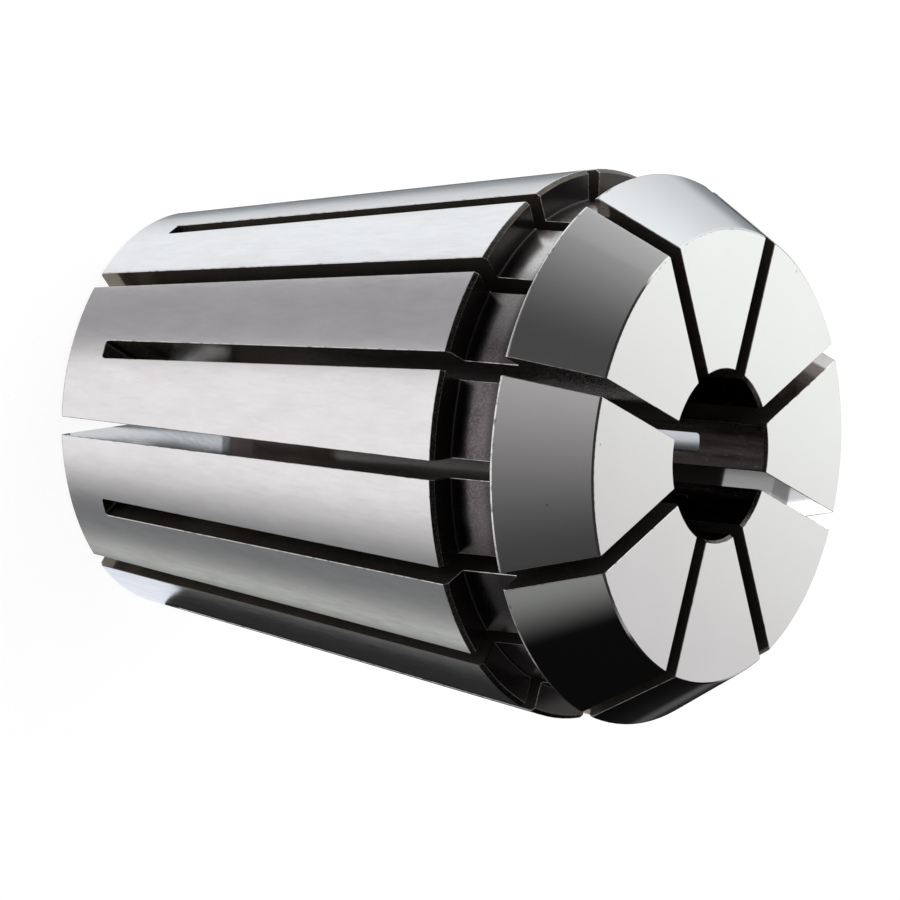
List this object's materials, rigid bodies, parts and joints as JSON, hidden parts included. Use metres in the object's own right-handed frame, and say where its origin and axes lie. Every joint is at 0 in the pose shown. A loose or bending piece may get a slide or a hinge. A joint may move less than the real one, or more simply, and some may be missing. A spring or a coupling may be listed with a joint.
{
  "type": "er collet",
  "caption": "Slotted spring collet with a long rear taper, a pull-out groove, a short front cone and a straight clamping bore.",
  "frame": {"origin": "centre of the rear face, the small end of the long taper, on the collet's axis", "axes": "+Z along the collet's axis from the rear face to the front face; +X and +Y each run through the middle of a slot that opens at the rear"},
  "size_m": [0.033, 0.033, 0.04],
  "materials": {
    "steel": "hardened and ground spring steel, polished on the front cone"
  },
  "bodies": {
    "root": {"collet": "steel"}
  },
  "joints": []
}
